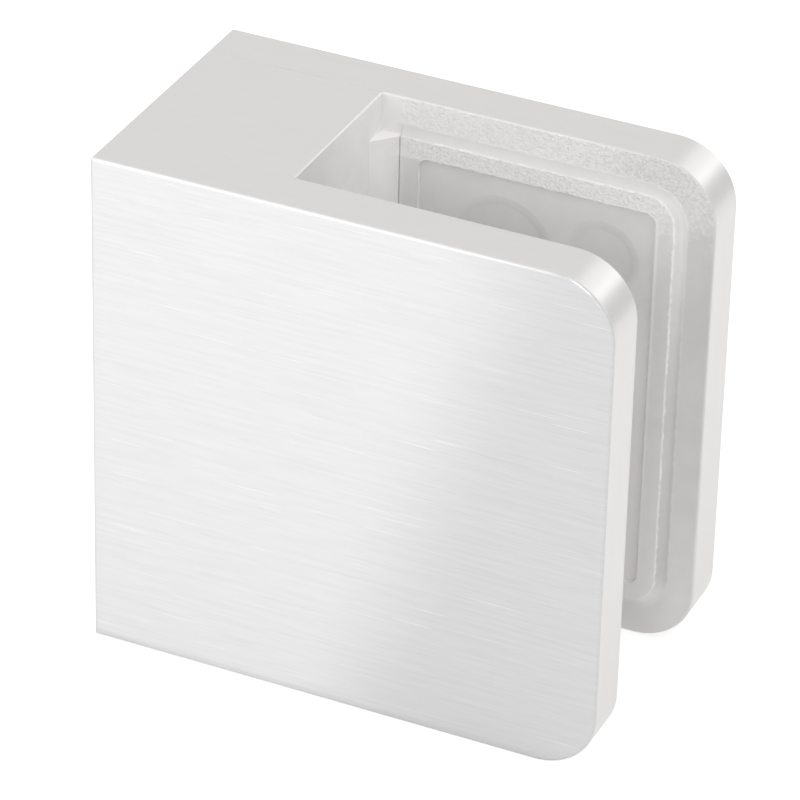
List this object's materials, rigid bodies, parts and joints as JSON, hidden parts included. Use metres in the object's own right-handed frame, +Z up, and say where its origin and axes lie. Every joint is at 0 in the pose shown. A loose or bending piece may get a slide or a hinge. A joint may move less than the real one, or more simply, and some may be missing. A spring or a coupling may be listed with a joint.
{
  "type": "glass panel clamp",
  "caption": "Flat-backed square clamp for the edge of a glass panel: cast body with a cover plate, a slot between two arms with rounded mouth corners, and a fixing bore through the back.",
  "frame": {"origin": "centre of the back face, on the axis of the fixing bore", "axes": "+X from the back face to the mouth of the slot, +Y across the clamp towards the cover plate and its screws, +Z up"},
  "size_m": [0.045, 0.025, 0.045],
  "materials": {
    "satin_steel": "outside brushed along the depth, inside of the arms as cast",
    "screw_steel": "turned, bright"
  },
  "bodies": {
    "root": {"clamp_body": "satin_steel", "cover_plate": "satin_steel", "clamp_screw_upper": "screw_steel", "clamp_screw_lower": "screw_steel"}
  },
  "joints": []
}
